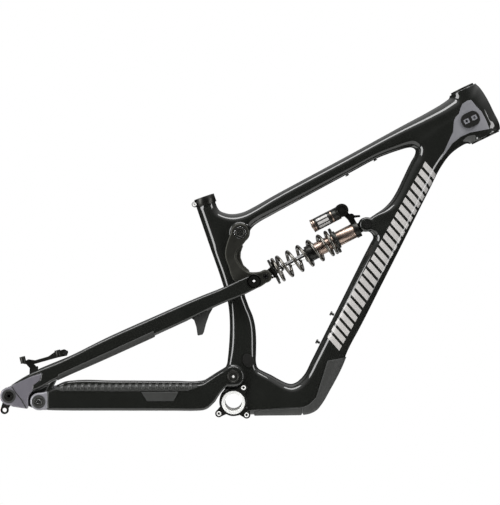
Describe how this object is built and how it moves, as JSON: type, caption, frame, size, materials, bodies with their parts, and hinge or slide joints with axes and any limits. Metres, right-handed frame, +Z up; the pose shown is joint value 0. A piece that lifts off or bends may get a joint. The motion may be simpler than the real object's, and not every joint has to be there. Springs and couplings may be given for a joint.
{
  "type": "bicycle frame",
  "caption": "Full-suspension mountain bicycle frame in moulded carbon, with a four-bar rear triangle, a rocker link and a coil shock with reservoir.",
  "frame": {"origin": "centre of the bottom bracket", "axes": "+X forward, +Y to the rider's left along the bottom bracket, +Z up"},
  "size_m": [1.0056, 0.1717, 0.6796],
  "materials": {
    "gloss_carbon": "clear-coated black carbon",
    "anodised_black": "satin black anodised",
    "bare_aluminium": "machined",
    "bronze_anodised": "bronze anodised",
    "black_rubber": "moulded, matt",
    "black_steel": "black oxide",
    "bearing_steel": "ground",
    "hard_chrome": "polished",
    "spring_lacquer": "gloss grey-black lacquer"
  },
  "bodies": {
    "front_frame": {"front_triangle": "gloss_carbon", "bb_shell": "bare_aluminium", "iscg_plate": "anodised_black", "iscg_inserts": "bare_aluminium", "upper_headset_cup": "anodised_black", "lower_headset_cup": "anodised_black", "head_badge": "anodised_black", "cable_port_covers": "anodised_black", "cable_port_grommets": "black_rubber", "cable_port_screws": "black_steel", "mast_cable_grommets": "black_rubber", "downtube_guard": "black_rubber", "bb_guard": "black_rubber", "bottle_and_tool_bolts": "black_steel", "seat_clamp": "anodised_black", "seat_clamp_bolt": "black_steel", "main_pivot_axle": "black_steel", "pivot_end_caps": "anodised_black", "rocker_pivot_axle": "black_steel", "shock_mount_bolt": "black_steel"},
    "chainstay_assembly": {"chainstay": "gloss_carbon", "chainstay_guard": "black_rubber", "chainsuck_plate": "black_rubber", "main_pivot_bearings": "bearing_steel", "horst_bearings": "bearing_steel"},
    "seatstay_assembly": {"seatstay": "gloss_carbon", "seatstay_guard": "black_rubber", "stay_fins": "black_rubber", "dropout_insert": "bare_aluminium", "derailleur_hanger": "anodised_black", "hanger_bolt": "anodised_black", "stay_pivot_bolts": "anodised_black", "horst_bolts": "anodised_black", "horst_nuts": "anodised_black", "brake_mount": "anodised_black", "brake_mount_bolts": "black_steel"},
    "rocker_assembly": {"rocker_link": "anodised_black", "rocker_pivot_bearings": "bearing_steel", "stay_pivot_bearings": "bearing_steel", "rocker_cross_axle": "black_steel", "rear_shock_screws": "black_steel"},
    "shock_body_side": {"shock_body": "bronze_anodised", "seal_head": "anodised_black", "shock_head": "anodised_black", "reservoir_tube": "anodised_black", "reservoir_cap": "anodised_black", "reservoir_floating_piston": "bronze_anodised", "front_eyelet_bush": "bearing_steel", "coil_spring": "spring_lacquer", "high_speed_dial": "anodised_black"},
    "shock_shaft_side": {"shock_shaft": "hard_chrome", "bump_stop": "black_rubber", "spring_retainer": "anodised_black", "lower_eyelet": "anodised_black", "rear_eyelet_bush": "bearing_steel"},
    "rear_axle_body": {"rear_axle": "black_steel"},
    "preload_collar_body": {"preload_collar": "anodised_black"},
    "climb_lever_body": {"climb_lever": "anodised_black"},
    "compression_knob_body": {"compression_knob": "bare_aluminium"},
    "rebound_knob_body": {"rebound_knob": "black_steel"}
  },
  "joints": [
    {"name": "main_pivot", "type": "hinge", "parent": "front_frame", "child": "chainstay_assembly", "pos_m": [0, 0, 0.053], "axis": [0, 1, 0], "range_deg": [0, 23.6]},
    {"name": "horst_pivot", "type": "hinge", "parent": "chainstay_assembly", "child": "seatstay_assembly", "pos_m": [-0.386, 0, 0.006], "axis": [0, 1, 0], "range_deg": [-9.4, 0]},
    {"name": "rocker_pivot", "type": "hinge", "parent": "front_frame", "child": "rocker_assembly", "pos_m": [0.0135, 0, 0.3425], "axis": [0, 1, 0], "range_deg": [-43, 0]},
    {"name": "shock_pivot", "type": "hinge", "parent": "front_frame", "child": "shock_body_side", "pos_m": [0.26967, 0, 0.35923], "axis": [0, 1, 0], "range_deg": [0, 11]},
    {"name": "shock_stroke", "type": "slide", "parent": "shock_body_side", "child": "shock_shaft_side", "axis": [0.8894, 0, 0.4571], "range_m": [0, 0.0652], "stiffness_N_per_m": 79000, "springref_m": -0.001, "deforming": ["coil_spring"]},
    {"name": "rear_axle_pull", "type": "slide", "parent": "seatstay_assembly", "child": "rear_axle_body", "axis": [0, 1, 0], "range_m": [0, 0.19]},
    {"name": "preload_collar_turn", "type": "hinge", "parent": "shock_body_side", "child": "preload_collar_body", "pos_m": [0.20741, 0, 0.32724], "axis": [0.8894, 0, 0.4571], "continuous": true},
    {"name": "climb_lever_turn", "type": "hinge", "parent": "shock_body_side", "child": "climb_lever_body", "pos_m": [0.23913, -0.011, 0.37446], "axis": [0, 1, 0], "range_deg": [-60, 0]},
    {"name": "compression_knob_turn", "type": "hinge", "parent": "shock_body_side", "child": "compression_knob_body", "pos_m": [0.23913, -0.013, 0.37446], "axis": [0, 1, 0], "continuous": true},
    {"name": "rebound_knob_turn", "type": "hinge", "parent": "shock_shaft_side", "child": "rebound_knob_body", "pos_m": [0.07921, 0, 0.2518], "axis": [0, 1, 0], "continuous": true}
  ],
  "couplings": [
    {"joint": "horst_pivot", "follows": "main_pivot", "ratio": -0.39241},
    {"joint": "rocker_pivot", "follows": "main_pivot", "ratio": -1.8106},
    {"joint": "shock_pivot", "follows": "main_pivot", "ratio": 0.45677},
    {"joint": "shock_stroke", "follows": "main_pivot", "m_per_rad": 0.15776}
  ]
}
